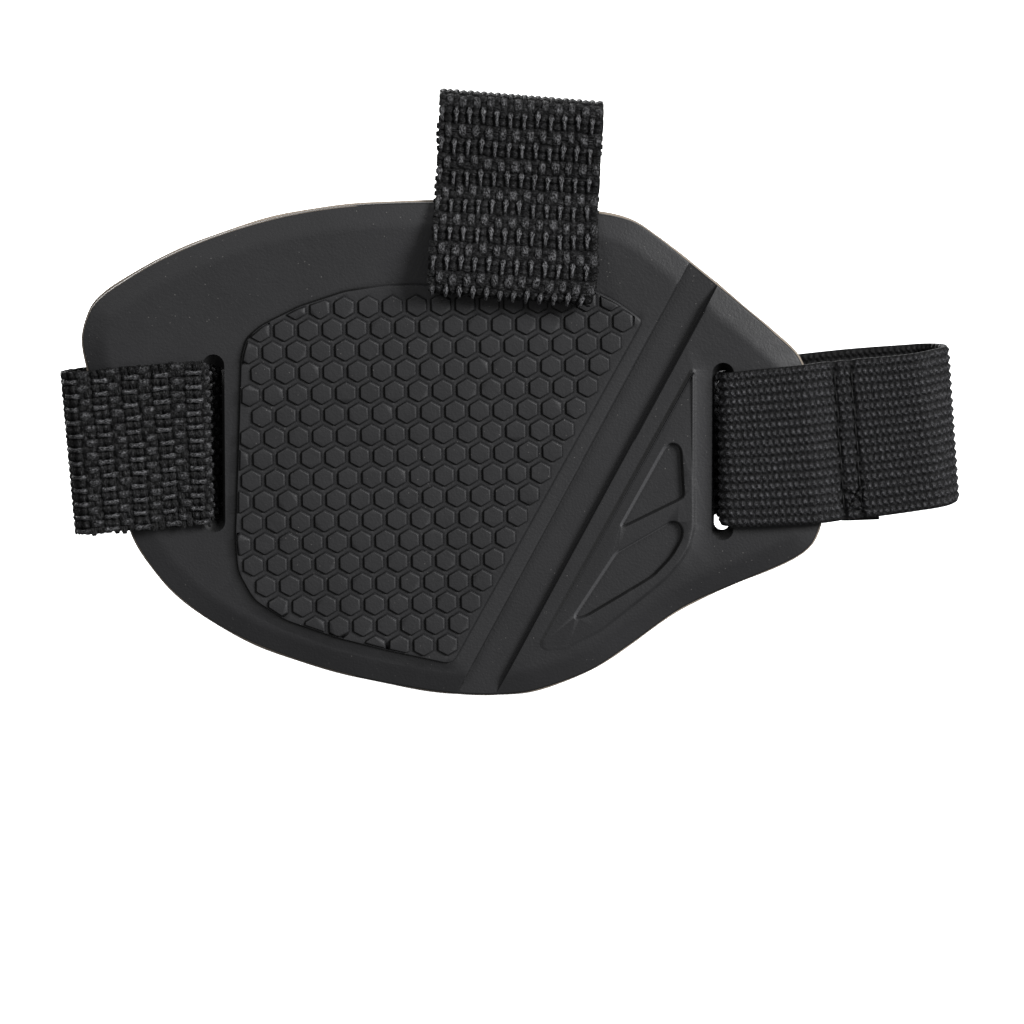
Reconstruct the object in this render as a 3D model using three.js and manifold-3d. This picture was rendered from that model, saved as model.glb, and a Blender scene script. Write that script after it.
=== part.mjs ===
// A clip-on gear-shift guard for a motorcycle boot: a moulded rubber pad, an elastic and webbing strap
// that closes behind it with hook and loop tape, and a short lace tab that folds over at the top.
// Millimetres. +X to the wearer's right as seen from the front, +Y from the pad towards the boot, +Z up.
// The origin lies on the pad's rear face, the face that rests on the boot, near the pad's centre.

import * as THREE from 'three';
import { mergeGeometries, mergeVertices } from 'three/addons/utils/BufferGeometryUtils.js';
import Module from 'manifold-3d';

const wasm = await Module();
wasm.setup();

// ---- driving dimensions -------------------------------------------------------------------------

const GAP = 0.3;                // clear space between neighbours that touch on the real object

// Heights of the moulding above its flat rear face.
const RIM = 1.0;                // thickness at the very edge
const FACE = 2.4;               // main front face, inside the bevel
const GROOVE_FLOOR = 2.8;       // floor between the grip hexagons
const HEX_TOP = 3.3;            // top of the grip hexagons
const CHANNEL_FLOOR = 1.1;      // floor of the diagonal channel
const PLATEAU = 3.0;            // raised triangle beside the right slot
const WINDOW_FLOOR = 2.3;       // floor of the two sunk windows in the triangle
const BEVEL = 3.3;              // width of the sloping edge all round

const HEX_PITCH = 3.75;         // centre to centre along a row
const HEX_ROW = 3.3;            // centre to centre of neighbouring rows
const HEX_RADIUS = 1.68;        // centre to corner

const SLOT = { width: 2.9, length: 27.4 };
const LEFT_SLOT = { x: -37.1, z: 1.1 };
const RIGHT_SLOT = { x: 42.2, z: -0.2 };
const TOP_SLOT = { x: 10.0, z: 27.7, tilt: -4.6, length: 26.2 };

const STRAP_WIDTH = 25.0;
const WEBBING = 1.4;            // thickness of the polypropylene webbing
const ELASTIC = 1.2;            // thickness of the knitted elastic
const THREAD = 0.4;             // height of a line of stitching

// Depths of the layers behind the pad, measured to the middle of each layer.
const RUN = { elastic: 8.2, webbing: 9.7, loop: 11.3, hook: 12.8, hookEnd: 14.2 };
const LOOP_TAPE = 1.2;
const HOOK_TAPE = 1.0;

const FRONT_FOLD_X = -59.2;     // middle of the webbing where it turns round the pad's left edge
const TURN = { x: 71.9, radius: 5.2 };

// ---- materials ----------------------------------------------------------------------------------

const finish = (color, roughness) => new THREE.MeshStandardMaterial({ color, roughness, metalness: 0 });
const rubber = () => finish(0x2e2e30, 0.62);
const webbingCloth = () => finish(0x1d1d1f, 0.8);
const elasticCloth = () => finish(0x202023, 0.85);
const loopPile = () => finish(0x18181a, 0.95);
const hookPlastic = () => finish(0x1b1b1d, 0.7);
const thread = () => finish(0x141416, 0.75);

// ---- helpers ------------------------------------------------------------------------------------

const guard = new THREE.Group();

function add(name, geometry, material, parent = guard) {
  const mesh = new THREE.Mesh(geometry, material);
  mesh.name = name;
  parent.add(mesh);
  return mesh;
}

function solid(geometry) {
  const bare = geometry.clone();
  bare.deleteAttribute('normal');
  bare.deleteAttribute('uv');
  const welded = mergeVertices(bare, 1e-4);
  const vertProperties = new Float32Array(welded.attributes.position.array);
  const triVerts = new Uint32Array(welded.index.array);
  return new wasm.Manifold(new wasm.Mesh({ numProp: 3, vertProperties, triVerts }));
}

function geometryOf(body) {
  const mesh = body.getMesh();
  const geometry = new THREE.BufferGeometry();
  geometry.setAttribute('position', new THREE.BufferAttribute(mesh.vertProperties, 3));
  geometry.setIndex(new THREE.BufferAttribute(mesh.triVerts, 1));
  return geometry;
}

// A flat outline drawn in X and Z, standing out in front of the rear face from one height to another.
function slab(outline, low, high) {
  const geometry = new THREE.ExtrudeGeometry(outline, { depth: high - low, bevelEnabled: false });
  geometry.translate(0, 0, low);
  return geometry.rotateX(Math.PI / 2);
}

// The same with a sloping edge: the top is drawn in by run, over the height from wall to high.
function bevelledSlab(outline, low, wall, high, run) {
  const rise = high - wall;
  const geometry = new THREE.ExtrudeGeometry(outline, {
    depth: wall - low,
    bevelThickness: rise,
    bevelSize: run,
    bevelOffset: -run,
    bevelSegments: 1,
  });
  geometry.translate(0, 0, low);
  return solid(geometry.rotateX(Math.PI / 2)).subtract(solid(blockBehind(low)));
}

// A block that takes away everything behind a height, used to cut the rear bevel off.
function blockBehind(height) {
  const size = 200;
  return new THREE.BoxGeometry(size, size, size).translate(0, size / 2 - height, 0);
}

function polygon(points) {
  return new THREE.Shape(points.map(([x, z]) => new THREE.Vector2(x, z)));
}

// A closed smooth outline through a few points.
function smoothOutline(points, count) {
  const knots = points.map(([x, z]) => new THREE.Vector3(x, z, 0));
  const curve = new THREE.CatmullRomCurve3(knots, true, 'centripetal');
  const ring = curve.getSpacedPoints(count).slice(0, count);
  return new THREE.Shape(ring.map((p) => new THREE.Vector2(p.x, p.y)));
}

// A slot with round ends, standing upright and centred on the origin.
function slotShape({ width, length }) {
  const r = width / 2;
  const straight = length / 2 - r;
  const shape = new THREE.Shape();
  shape.moveTo(r, -straight);
  shape.lineTo(r, straight);
  shape.absarc(0, straight, r, 0, Math.PI, false);
  shape.lineTo(-r, -straight);
  shape.absarc(0, -straight, r, Math.PI, 2 * Math.PI, false);
  return shape;
}

function slotCutter({ x, z, tilt = 90, length = SLOT.length }) {
  const geometry = slab(slotShape({ width: SLOT.width, length }), -1, HEX_TOP + 1);
  geometry.rotateY(THREE.MathUtils.degToRad(90 - tilt));
  return solid(geometry.translate(x, 0, z));
}

// The middle line of a ribbon: straight runs joined by round bends. Each entry is [a, b, bend radius].
function ribbonPath(corners) {
  const path = new THREE.Path();
  const at = corners.map(([a, b]) => new THREE.Vector2(a, b));
  path.moveTo(at[0].x, at[0].y);
  for (let i = 1; i < at.length - 1; i += 1) {
    const into = at[i].clone().sub(at[i - 1]).normalize();
    const out = at[i + 1].clone().sub(at[i]).normalize();
    const half = into.angleTo(out) / 2;
    const reach = corners[i][2] * Math.tan(half);
    const start = at[i].clone().addScaledVector(into, -reach);
    const end = at[i].clone().addScaledVector(out, reach);
    const left = into.x * out.y - into.y * out.x > 0;
    const normal = left ? new THREE.Vector2(-into.y, into.x) : new THREE.Vector2(into.y, -into.x);
    const centre = start.clone().addScaledVector(normal, corners[i][2]);
    const from = Math.atan2(start.y - centre.y, start.x - centre.x);
    const to = Math.atan2(end.y - centre.y, end.x - centre.x);
    path.lineTo(start.x, start.y);
    path.absarc(centre.x, centre.y, corners[i][2], from, to, !left);
  }
  const last = at[at.length - 1];
  path.lineTo(last.x, last.y);
  const line = path.getPoints(6);
  return line.filter((p, i) => i === 0 || p.distanceTo(line[i - 1]) > 0.02);
}

// A ribbon of one thickness that follows a middle line, as a solid of the given width.
function ribbon(corners, thickness, width) {
  const line = ribbonPath(corners);
  const sides = [[], []];
  line.forEach((p, i) => {
    const before = line[Math.max(i - 1, 0)];
    const after = line[Math.min(i + 1, line.length - 1)];
    const back = p.clone().sub(i > 0 ? before : p.clone().multiplyScalar(2).sub(after)).normalize();
    const ahead = (i < line.length - 1 ? after.clone().sub(p) : back.clone()).normalize();
    const along = back.add(ahead).normalize();
    const stretch = thickness / 2 / Math.max(along.dot(ahead), 0.7);
    sides[0].push(new THREE.Vector2(p.x - along.y * stretch, p.y + along.x * stretch));
    sides[1].push(new THREE.Vector2(p.x + along.y * stretch, p.y - along.x * stretch));
  });
  const outline = new THREE.Shape([...sides[0], ...sides[1].reverse()]);
  const geometry = new THREE.ExtrudeGeometry(outline, { depth: width, bevelEnabled: false });
  return geometry.translate(0, 0, -width / 2);
}

function block(x0, x1, y0, y1, z0, z1) {
  const geometry = new THREE.BoxGeometry(x1 - x0, y1 - y0, z1 - z0);
  return geometry.translate((x0 + x1) / 2, (y0 + y1) / 2, (z0 + z1) / 2);
}

// ---- the rubber pad -----------------------------------------------------------------------------

const OUTLINE = [
  [-3, 38.6], [-13.4, 38.3], [-21.3, 37.4], [-28.5, 35.9], [-37.4, 33.1], [-45.2, 29.7], [-51.5, 26],
  [-54.5, 23.8], [-56.2, 21.7], [-57.4, 17.4], [-56.6, 12.7], [-53.4, 0], [-49.9, -13.3], [-45.5, -20.3],
  [-40.7, -24.9], [-34.4, -29], [-27.2, -32.2], [-17.1, -35.4], [-5.4, -37.8], [2.6, -38.7], [10.5, -38.5],
  [15.5, -37.3], [22, -34.7], [27.6, -31], [34.7, -25.8], [38.7, -23.6], [44.2, -21.2], [52.8, -17.5],
  [55.9, -15.3], [57.3, -12.5], [57.6, -9.6], [56.8, 2.7], [54.4, 13.6], [50.1, 18.2], [45, 22.6],
  [41, 25.9], [36.6, 29.5], [31.6, 33.4], [28.1, 35.6], [23.3, 36.8], [10.7, 38.3],
];

// The grip field, from the top left corner anticlockwise.
const PLATFORM = [
  [-32.3, 15.7], [-32.6, 14.4], [-33.7, -14.1], [-33.3, -19], [-30.9, -23.4], [-26.1, -26.6], [-18.1, -29.4],
  [-10.2, -31.4], [-1.4, -33], [0.2, -33.8], [28.9, 20.1], [28.5, 20.7], [25.7, 23.2], [22.1, 25],
  [-5.4, 25.9], [-10.2, 25.8], [-16.5, 24.9], [-23.7, 22.5], [-29.3, 19.7], [-31.7, 17.7],
];

// The channel's two edges, each as its top and bottom end, carried past the outline.
const CHANNEL = [[42.9, 41.1], [-1.4, -42.7], [4.5, -42.7], [49.8, 41.1]];

// The raised triangle and its two windows.
const TRIANGLE = [
  [36.9, 11.7], [14.8, -28.7], [19.7, -30.8], [24.6, -27.3], [31.3, -22.7], [35.4, -19.1], [37, -16.4],
  [37.5, -13.6], [37.5, 10.8],
];
const WINDOWS = [
  [[34.1, 1.3], [26.6, -12.1], [36.3, -7.4], [36.2, -2], [35.2, 1]],
  [[25.5, -16], [19.3, -26.5], [20.3, -26.6], [31.4, -19.6], [33.4, -18], [35.7, -12.2], [35.2, -11.2]],
];

function hexField() {
  const height = HEX_TOP - FACE + 0.4;
  const rows = 18;
  const columns = 20;
  const hexagons = [];
  for (let row = 0; row < rows; row += 1) {
    for (let column = 0; column < columns; column += 1) {
      const x = -39.2 + HEX_PITCH * (column + (row % 2) / 2);
      const z = 22 - HEX_ROW * row;
      const hexagon = new THREE.CylinderGeometry(HEX_RADIUS, HEX_RADIUS, height, 6);
      hexagons.push(mergeVertices(hexagon.translate(x, height / 2 - HEX_TOP, z)));
    }
  }
  return solid(mergeGeometries(hexagons));
}

function shieldPad() {
  const platform = polygon(PLATFORM);
  let pad = bevelledSlab(smoothOutline(OUTLINE, 132), 0, RIM, FACE, BEVEL);
  pad = pad.add(bevelledSlab(platform, 0, FACE - 0.5, GROOVE_FLOOR, 0.8));
  pad = pad.add(bevelledSlab(polygon(TRIANGLE), 0, FACE - 0.4, PLATEAU, 0.5));
  pad = pad.subtract(solid(slab(polygon(CHANNEL), CHANNEL_FLOOR, HEX_TOP + 1)));
  pad = pad.add(hexField().intersect(solid(slab(platform, FACE - 1, HEX_TOP + 1))));
  for (const window of WINDOWS) {
    pad = pad.subtract(solid(slab(polygon(window), WINDOW_FLOOR, HEX_TOP + 1)));
  }
  pad = pad.subtract(slotCutter(LEFT_SLOT));
  pad = pad.subtract(slotCutter(RIGHT_SLOT));
  pad = pad.subtract(slotCutter(TOP_SLOT));
  return geometryOf(pad);
}

add('shield_pad', shieldPad(), rubber());

// ---- elastic: sewn round the pad's right bar, then turned back behind the pad --------------------

const rightZ = -0.1;
const seamFront = -2.2;

const elasticWrap = [
  [66, seamFront, 0],
  [59.6, seamFront, 2],
  [56, -3.5, 2],
  [42.1, -3.5, 1],
  [42.1, 0.9, 1],
  [58.6, 0.9, 1.2],
  [60.2, -0.5, 1.2],
  [65.7, -0.5, 0],
];
add('elastic_bar_wrap', ribbon(elasticWrap, ELASTIC, STRAP_WIDTH).translate(0, 0, rightZ), elasticCloth());

const turnEdge = TURN.x + TURN.radius;
const elasticTurn = [
  [66 + GAP, seamFront, 0],
  [turnEdge, seamFront, TURN.radius - 0.05],
  [turnEdge, RUN.elastic, TURN.radius - 0.05],
  [66 + GAP, RUN.elastic, 0],
];
add('elastic_turn', ribbon(elasticTurn, ELASTIC, STRAP_WIDTH).translate(0, 0, rightZ + 0.4), elasticCloth());

const elasticRun = [[66, RUN.elastic], [47, RUN.elastic]];
add('elastic_back_run', ribbon(elasticRun, ELASTIC, STRAP_WIDTH).translate(0, 0, 0.6), elasticCloth());

// Two lines of stitching close the elastic round the bar.
const stitchLength = STRAP_WIDTH - 1.2;
const stitchWidth = 0.6;
function acrossSeam(name, x, y, z) {
  const seam = block(-stitchWidth / 2, stitchWidth / 2, -THREAD / 2, THREAD / 2, -stitchLength / 2, stitchLength / 2);
  return add(name, seam.translate(x, y, z), thread());
}
const onElasticFront = seamFront - ELASTIC / 2 - THREAD / 2 - 0.1;
acrossSeam('bar_seam_inner', 60.3, onElasticFront, rightZ);
acrossSeam('bar_seam_outer', 64.2, onElasticFront, rightZ);

// ---- webbing back run and its loop tape ----------------------------------------------------------

const backZ = 0.9;
add('webbing_back_run', ribbon([[56, RUN.webbing], [-27, RUN.webbing]], WEBBING, STRAP_WIDTH)
  .translate(0, 0, backZ), webbingCloth());
add('loop_tape', ribbon([[56, RUN.loop], [-27, RUN.loop]], LOOP_TAPE, STRAP_WIDTH - 0.6)
  .translate(0, 0, backZ), loopPile());

const insideRun = RUN.elastic - ELASTIC / 2 - THREAD / 2 - 0.1;
acrossSeam('joint_seam_inner', 49, insideRun, 0.6);
acrossSeam('joint_seam_outer', 54.5, insideRun, 0.6);

function edgeSeam(name, x0, x1, y, z) {
  return add(name, block(x0, x1, y - THREAD / 2, y + THREAD / 2, z - stitchWidth / 2, z + stitchWidth / 2), thread());
}
const seamInset = STRAP_WIDTH / 2 - 2;
const insideWebbing = RUN.webbing - WEBBING / 2 - THREAD / 2 - 0.1;
edgeSeam('loop_tape_seam_top', -26, 46, insideWebbing, backZ + seamInset);
edgeSeam('loop_tape_seam_bottom', -26, 46, insideWebbing, backZ - seamInset);

// ---- webbing through the left slot, over the pad's left bar and round its edge --------------------

const leftZ = 0.4;
const frontLayer = -(FACE + GAP + WEBBING / 2 + 0.1);
const inSlot = -0.9;

const slotPass = [[-27 - GAP, RUN.webbing, 0], [LEFT_SLOT.x, RUN.webbing, 5], [LEFT_SLOT.x, inSlot + GAP, 0]];
add('webbing_slot_pass', ribbon(slotPass, WEBBING, STRAP_WIDTH).translate(0, 0, leftZ + 0.3), webbingCloth());

const barCover = [[LEFT_SLOT.x, inSlot, 0], [LEFT_SLOT.x, frontLayer, 1.2], [-55, frontLayer, 0]];
add('webbing_bar_cover', ribbon(barCover, WEBBING, STRAP_WIDTH).translate(0, 0, leftZ), webbingCloth());

const foldRear = 1.5;
const foldRadius = (foldRear - frontLayer) / 2 - 0.05;
const fold = [
  [-55 - GAP, frontLayer, 0],
  [FRONT_FOLD_X, frontLayer, foldRadius],
  [FRONT_FOLD_X, foldRear, foldRadius],
  [-55 - GAP, foldRear, 0],
];
add('webbing_fold', ribbon(fold, WEBBING, STRAP_WIDTH).translate(0, 0, leftZ), webbingCloth());

// ---- webbing hook end: from the fold back across the loop tape ------------------------------------

const hookTip = 48;
const hookStart = -15;
const hookEnd = [[-55, foldRear, 0], [-51, foldRear, 5], [-33, RUN.hookEnd, 6], [hookTip, RUN.hookEnd, 0]];
add('webbing_hook_end', ribbon(hookEnd, WEBBING, STRAP_WIDTH).translate(0, 0, backZ), webbingCloth());
add('hook_tape', ribbon([[hookTip - 0.5, RUN.hook], [hookStart, RUN.hook]], HOOK_TAPE, STRAP_WIDTH - 0.6)
  .translate(0, 0, backZ), hookPlastic());

const outsideHookEnd = RUN.hookEnd + WEBBING / 2 + THREAD / 2 + 0.1;
edgeSeam('hook_tape_seam_top', hookStart + 1, hookTip - 1.5, outsideHookEnd, backZ + seamInset);
edgeSeam('hook_tape_seam_bottom', hookStart + 1, hookTip - 1.5, outsideHookEnd, backZ - seamInset);

// ---- lace tab: webbing looped round the pad's top bar ---------------------------------------------

// The tab leans with the top slot. Its own frame has the slot's centre as origin, u along the slot and
// v up the tab, and every ribbon is drawn as depth against v.
const tab = new THREE.Group();
tab.position.set(TOP_SLOT.x, 0, TOP_SLOT.z);
tab.rotation.y = THREE.MathUtils.degToRad(-TOP_SLOT.tilt);
guard.add(tab);

const TAB = {
  width: 25.4,
  hinge: 12.5,                  // height above the slot at which the tab bends forward
  rearEnd: 22.4,                // end of the rear layer, sewn to the front one
  foldCentre: 24.2,             // height of the fold's centre
  frontDepth: -0.85,            // middle of the front layer above the pad
  rearDepth: 0.85,
  loopDepth: 2.35,
  hookDepth: 3.45,
  flapDepth: 4.8,
  flapEnd: 0.8,
};

function tabRibbon(corners, thickness, width) {
  const basis = new THREE.Matrix4().makeBasis(
    new THREE.Vector3(0, 1, 0), new THREE.Vector3(0, 0, 1), new THREE.Vector3(1, 0, 0));
  return ribbon(corners, thickness, width).applyMatrix4(basis);
}

const barTop = TAB.hinge - 1.6;
const tabWrap = [
  [-2.4, barTop, 0],
  [-4.2, 7, 6],
  [-6.2, 0, 6],
  [-6.5, -3.7, 0.95],
  [-4.4, -3.7, 0.95],
  [-4.4, 0, 0.9],
  [0.95, 0, 0.9],
  [0.95, barTop, 0],
];
add('tab_bar_wrap', tabRibbon(tabWrap, WEBBING, TAB.width), webbingCloth(), tab);

const bendTop = TAB.hinge + 1.6;
const tabBend = [[0, barTop + 2 * GAP], [0, bendTop - GAP]];
add('tab_bend', tabRibbon(tabBend, 2 * WEBBING + 0.2, TAB.width), webbingCloth(), tab);

const frontPanel = [[TAB.frontDepth, bendTop], [TAB.frontDepth, TAB.foldCentre]];
add('tab_front_layer', tabRibbon(frontPanel, WEBBING, TAB.width), webbingCloth(), tab);
const rearPanel = [[TAB.rearDepth, bendTop], [TAB.rearDepth, TAB.rearEnd]];
add('tab_rear_layer', tabRibbon(rearPanel, WEBBING, TAB.width), webbingCloth(), tab);

const loopPatch = [[TAB.loopDepth, bendTop + 0.4], [TAB.loopDepth, TAB.rearEnd - 0.2]];
add('tab_loop_patch', tabRibbon(loopPatch, 0.9, TAB.width - 1.4), loopPile(), tab);

const foldLow = TAB.foldCentre + GAP;
const foldMiddle = (TAB.frontDepth + TAB.flapDepth) / 2;
const tabFoldRadius = (TAB.flapDepth - TAB.frontDepth) / 2 - 0.05;
const foldTop = foldLow + tabFoldRadius + 0.05;
const topFold = [
  [TAB.frontDepth, foldLow, 0],
  [TAB.frontDepth, foldTop, tabFoldRadius],
  [TAB.flapDepth, foldTop, tabFoldRadius],
  [TAB.flapDepth, foldLow, 0],
];
add('tab_top_fold', tabRibbon(topFold, WEBBING, TAB.width), webbingCloth(), tab);

const flap = [[TAB.flapDepth, TAB.foldCentre], [TAB.flapDepth, TAB.flapEnd]];
add('tab_flap', tabRibbon(flap, WEBBING, TAB.width), webbingCloth(), tab);
const hookPatch = [[TAB.hookDepth, bendTop + 0.4], [TAB.hookDepth, TAB.rearEnd - 0.2]];
add('tab_hook_patch', tabRibbon(hookPatch, 0.7, TAB.width - 1.4), hookPlastic(), tab);

// Two lines of stitching join the tab's layers; they show on the front layer.
const tabStitch = TAB.width - 2;
function tabSeam(name, height) {
  const seam = new THREE.BoxGeometry(tabStitch, THREAD, stitchWidth);
  const depth = TAB.frontDepth - WEBBING / 2 - THREAD / 2 - 0.1;
  return add(name, seam.translate(0, depth, height), thread(), tab);
}
tabSeam('tab_seam_low', bendTop + 1);
tabSeam('tab_seam_high', TAB.rearEnd - 1.2);

export default guard;
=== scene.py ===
# %% [markdown]
# # A clip-on boot guard
# A rubber pad is strapped over the toe of a riding boot, so that the gear lever presses on rubber and not
# on leather. Three bands hold it: a knitted elastic on the right, a woven webbing that passes through the
# left slot, and a short webbing tab on top for the laces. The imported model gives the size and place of
# every piece. This file gives each of them its real surface: moulded relief, woven yarns, ribs and stitches.

# %% Load the frame
import math

import bpy
import numpy as np
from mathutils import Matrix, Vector
from mathutils.geometry import delaunay_2d_cdt


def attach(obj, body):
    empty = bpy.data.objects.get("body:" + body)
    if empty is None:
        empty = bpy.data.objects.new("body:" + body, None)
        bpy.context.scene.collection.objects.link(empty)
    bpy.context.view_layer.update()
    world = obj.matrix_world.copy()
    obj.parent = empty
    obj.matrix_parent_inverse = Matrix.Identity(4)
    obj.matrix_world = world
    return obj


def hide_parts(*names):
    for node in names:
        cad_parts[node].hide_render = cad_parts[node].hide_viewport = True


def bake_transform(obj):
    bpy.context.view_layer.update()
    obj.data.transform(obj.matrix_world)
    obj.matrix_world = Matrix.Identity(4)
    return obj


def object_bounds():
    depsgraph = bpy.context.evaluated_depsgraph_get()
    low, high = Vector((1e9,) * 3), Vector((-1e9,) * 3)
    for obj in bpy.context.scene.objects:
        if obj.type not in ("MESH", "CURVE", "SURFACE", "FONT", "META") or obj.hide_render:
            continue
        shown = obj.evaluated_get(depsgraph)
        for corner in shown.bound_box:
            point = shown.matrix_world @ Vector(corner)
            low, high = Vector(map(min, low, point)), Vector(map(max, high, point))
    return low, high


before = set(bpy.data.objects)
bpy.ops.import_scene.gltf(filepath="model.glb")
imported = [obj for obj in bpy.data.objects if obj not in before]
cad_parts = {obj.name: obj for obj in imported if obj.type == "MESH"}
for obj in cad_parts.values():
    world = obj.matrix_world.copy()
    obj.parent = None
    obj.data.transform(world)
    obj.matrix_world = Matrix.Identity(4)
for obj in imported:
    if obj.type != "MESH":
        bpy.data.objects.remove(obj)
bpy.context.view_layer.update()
MM = 0.001
TAU = 2 * math.pi

# %% [markdown]
# ## Camera, floor and light
# A small product is shot from far away with a long lens, so that its edges stay parallel. The camera
# looks down by a few degrees, which is why the band behind the pad shows a little above the band in front.
# The floor is pale and plain, and the pad stands on its lower edge.

# %% Camera
TILT = math.radians(8.0)
DISTANCE = 0.95
VIEW_WIDTH = 0.160
aim = Vector((0.0094, 0.0, -0.0100))


def placed(name, data):
    """An object made from the data and put in the scene."""
    made = bpy.data.objects.new(name, data)
    bpy.context.scene.collection.objects.link(made)
    return made


camera_data = bpy.data.cameras.new("product_camera")
camera_data.angle = 2 * math.atan(VIEW_WIDTH / 2 / DISTANCE)
camera = placed("product_camera", camera_data)
camera.location = aim + DISTANCE * Vector((0.0, -math.cos(TILT), math.sin(TILT)))
camera.rotation_euler = (aim - camera.location).to_track_quat("-Z", "Y").to_euler()
bpy.context.scene.camera = camera
print("lens, mm:", round(camera_data.lens, 1))


# %% Lights
def soft_light(name, place, size, watts):
    """A square softbox that faces the middle of the guard."""
    data = bpy.data.lights.new(name, "AREA")
    data.shape = "SQUARE"
    data.size = size
    data.energy = watts
    lamp = placed(name, data)
    lamp.location = Vector(place)
    lamp.rotation_euler = (-Vector(place)).to_track_quat("-Z", "Y").to_euler()
    return lamp


soft_light("key_softbox", (0.88, -0.60, 0.44), 0.4, 24.0)
soft_light("fill_softbox", (-0.6, -0.8, 0.6), 0.5, 4.0)
soft_light("back_softbox", (-0.5, 0.9, 0.45), 0.5, 18.0)
backdrop_light = soft_light("backdrop_light", (0.0, 2.8, 1.9), 3.0, 70.0)
backdrop_light.rotation_euler = (0.0, 0.0, 0.0)

world = bpy.data.worlds.new("pale_room")
bpy.context.scene.world = world
world.use_nodes = True
background = world.node_tree.nodes["Background"]
background.inputs["Color"].default_value = (1.0, 1.0, 1.0, 1.0)
background.inputs["Strength"].default_value = 0.25
bpy.context.scene.view_settings.view_transform = "Standard"

# %% [markdown]
# ## Writing materials as sums
# A material is a sum: base colour plus a little dust, minus a little painted shade in the grooves. The small
# class below lets a node socket be written like a number. Colours go through Mix nodes, and everything else
# goes through one method that takes a node's type, its settings and its inputs.


# %% Shader maths
class Value:
    """A node socket that can be added, multiplied and compared like a number."""

    def __init__(self, finish, socket):
        self.finish = finish
        self.socket = socket

    def _maths(self, operation, first, second, clamp=False):
        settings = {"operation": operation, "use_clamp": clamp}
        return self.finish.node("ShaderNodeMath", settings, [first, second])

    def __add__(self, other):
        return self._maths("ADD", self, other)

    def __mul__(self, other):
        return self._maths("MULTIPLY", self, other)

    def __sub__(self, other):
        return self._maths("SUBTRACT", self, other)

    def __rsub__(self, other):
        return self._maths("SUBTRACT", other, self)

    def __pow__(self, other):
        return self._maths("POWER", self, other)

    def above(self, other):
        return self._maths("GREATER_THAN", self, other)

    def clamped(self):
        return self._maths("ADD", self, 0.0, clamp=True)


class Finish:
    """One material, with a Principled shader and helpers for the nodes behind it."""

    def __init__(self, name, **plain):
        self.material = bpy.data.materials.new(name)
        self.material.use_nodes = True
        self.nodes = self.material.node_tree.nodes
        self.links = self.material.node_tree.links
        self.shader = self.nodes["Principled BSDF"]
        for socket, value in plain.items():
            self.shader.inputs[socket.replace("_", " ")].default_value = value

    def node(self, kind, settings=None, inputs=None, output=0):
        made = self.nodes.new(kind)
        for key, value in (settings or {}).items():
            if key == "stops":
                self._stops(made.color_ramp, value)
            else:
                setattr(made, key, value)
        pairs = inputs.items() if isinstance(inputs, dict) else enumerate(inputs or [])
        for key, value in pairs:
            self._feed(made.inputs[key], value)
        return Value(self, made.outputs[output])

    def _stops(self, ramp, stops):
        while len(ramp.elements) < len(stops):
            ramp.elements.new(0.5)
        for element, (place, shade) in zip(ramp.elements, stops):
            element.position = place
            element.color = (shade, shade, shade, 1.0)

    def _feed(self, socket, value):
        if isinstance(value, Value):
            self.links.new(value.socket, socket)
        else:
            socket.default_value = value

    def place(self):
        """The point on the piece, in its own rest coordinates, in metres."""
        return self.node("ShaderNodeTexCoord", output="Object")

    def noise(self, per_metre, detail=2.0, roughness=0.5, at=None):
        inputs = {"Vector": at or self.place(), "Scale": per_metre, "Detail": detail, "Roughness": roughness}
        return self.node("ShaderNodeTexNoise", {}, inputs)

    def ramp(self, value, stops):
        return self.node("ShaderNodeValToRGB", {"stops": stops}, [value])

    def mix(self, share, first, second):
        """A colour that goes from the first to the second as share goes from 0 to 1."""
        made = self.nodes.new("ShaderNodeMix")
        made.data_type = "RGBA"
        colours = [v if isinstance(v, Value) else (*v, 1.0) for v in (first, second)]
        self._feed(made.inputs["Factor"], share)
        self._feed(made.inputs[6], colours[0])
        self._feed(made.inputs[7], colours[1])
        return Value(self, made.outputs[2])

    def colour(self, value):
        self._feed(self.shader.inputs["Base Color"], value)

    def roughness(self, value):
        self._feed(self.shader.inputs["Roughness"], value)

    def bump(self, height, distance, strength=1.0):
        inputs = {"Height": height, "Distance": distance, "Strength": strength}
        self._feed(self.shader.inputs["Normal"], self.node("ShaderNodeBump", {}, inputs))


# %% [markdown]
# ## Finishes
# The pad is moulded rubber: near black, matt, with the fine grain of a blasted mould and a few specks of
# dust. The webbing is polypropylene, whose flat filaments shine along the yarn. The elastic is duller,
# since its covering yarns are textured. Everything is black, so the roughness and the relief tell the
# pieces apart, more than the colours do.


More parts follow.
